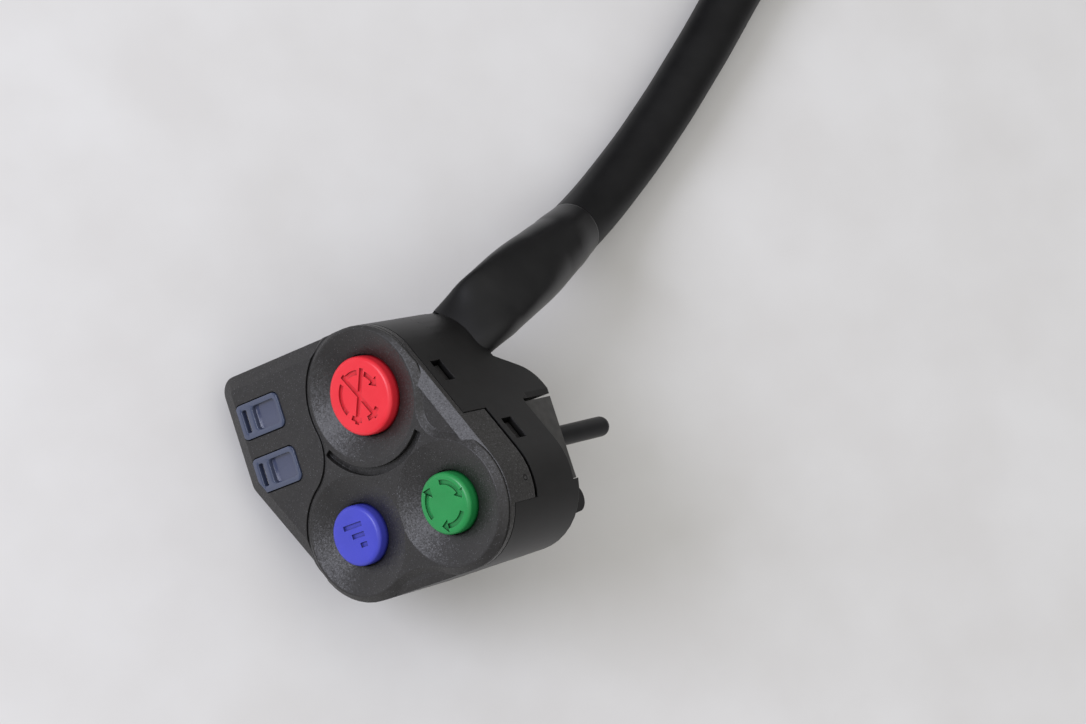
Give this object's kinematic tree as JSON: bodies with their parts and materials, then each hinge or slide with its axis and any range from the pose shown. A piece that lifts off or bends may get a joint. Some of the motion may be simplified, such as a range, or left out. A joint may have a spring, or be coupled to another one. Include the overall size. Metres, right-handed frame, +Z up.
{
  "type": "handlebar switch cluster",
  "caption": "Black left-hand handlebar switch pod with red, blue and green thumb buttons, smoked indicator lenses, a clamp for a 22 mm bar and a booted lead.",
  "frame": {"origin": "on the handlebar axis, at the middle of the clamp", "axes": "+Y along the handlebar toward the end where the lead leaves, +Z up from the table that the pod lies on, +X toward the clamp stud's side"},
  "size_m": [0.1914, 0.2504, 0.0527],
  "materials": {
    "case": "fine sparkle grain",
    "seal": "matte",
    "steel": "satin",
    "red_cap": "satin",
    "blue_cap": "satin",
    "green_cap": "satin",
    "switch": "matte",
    "board": "satin",
    "lens": "clear smoke",
    "led": "gloss",
    "clamp": "blasted",
    "black_steel": "satin black",
    "boot": "matte",
    "lead": "matte",
    "plug": "matte",
    "contact": "satin"
  },
  "bodies": {
    "housing": {"front_case": "case", "rear_case": "case", "case_gasket": "seal", "case_screws": "steel", "stop_spring": "steel", "mode_spring": "steel", "traction_spring": "steel", "stop_switch": "switch", "mode_switch": "switch", "traction_switch": "switch", "button_seals": "seal", "circuit_board": "board", "board_screws": "steel", "upper_lens": "lens", "lower_lens": "lens", "lamp_board": "board", "upper_led": "led", "lower_led": "led", "bar_clamp": "clamp", "clamp_stud": "black_steel", "clamp_nut": "black_steel", "cable_boot": "boot", "wire_leads": "switch", "cable_sleeve": "lead", "cable_coil": "lead", "coil_tie": "plug", "connector_seal": "seal", "connector_body": "plug", "connector_terminals": "contact"},
    "stop_button": {"stop_cap": "red_cap", "stop_clip": "steel"},
    "mode_button": {"mode_cap": "blue_cap", "mode_clip": "steel"},
    "traction_button": {"traction_cap": "green_cap", "traction_clip": "steel"}
  },
  "joints": [
    {"name": "stop_press", "type": "slide", "parent": "housing", "child": "stop_button", "axis": [0.8146, 0, -0.5801], "range_m": [0, 0.0015], "stiffness_N_per_m": 900, "springref_m": -0.002, "deforming": ["stop_spring"]},
    {"name": "mode_press", "type": "slide", "parent": "housing", "child": "mode_button", "axis": [0.8146, 0, -0.5801], "range_m": [0, 0.0015], "stiffness_N_per_m": 700, "springref_m": -0.002, "deforming": ["mode_spring"]},
    {"name": "traction_press", "type": "slide", "parent": "housing", "child": "traction_button", "axis": [0.8146, 0, -0.5801], "range_m": [0, 0.0015], "stiffness_N_per_m": 700, "springref_m": -0.002, "deforming": ["traction_spring"]}
  ]
}
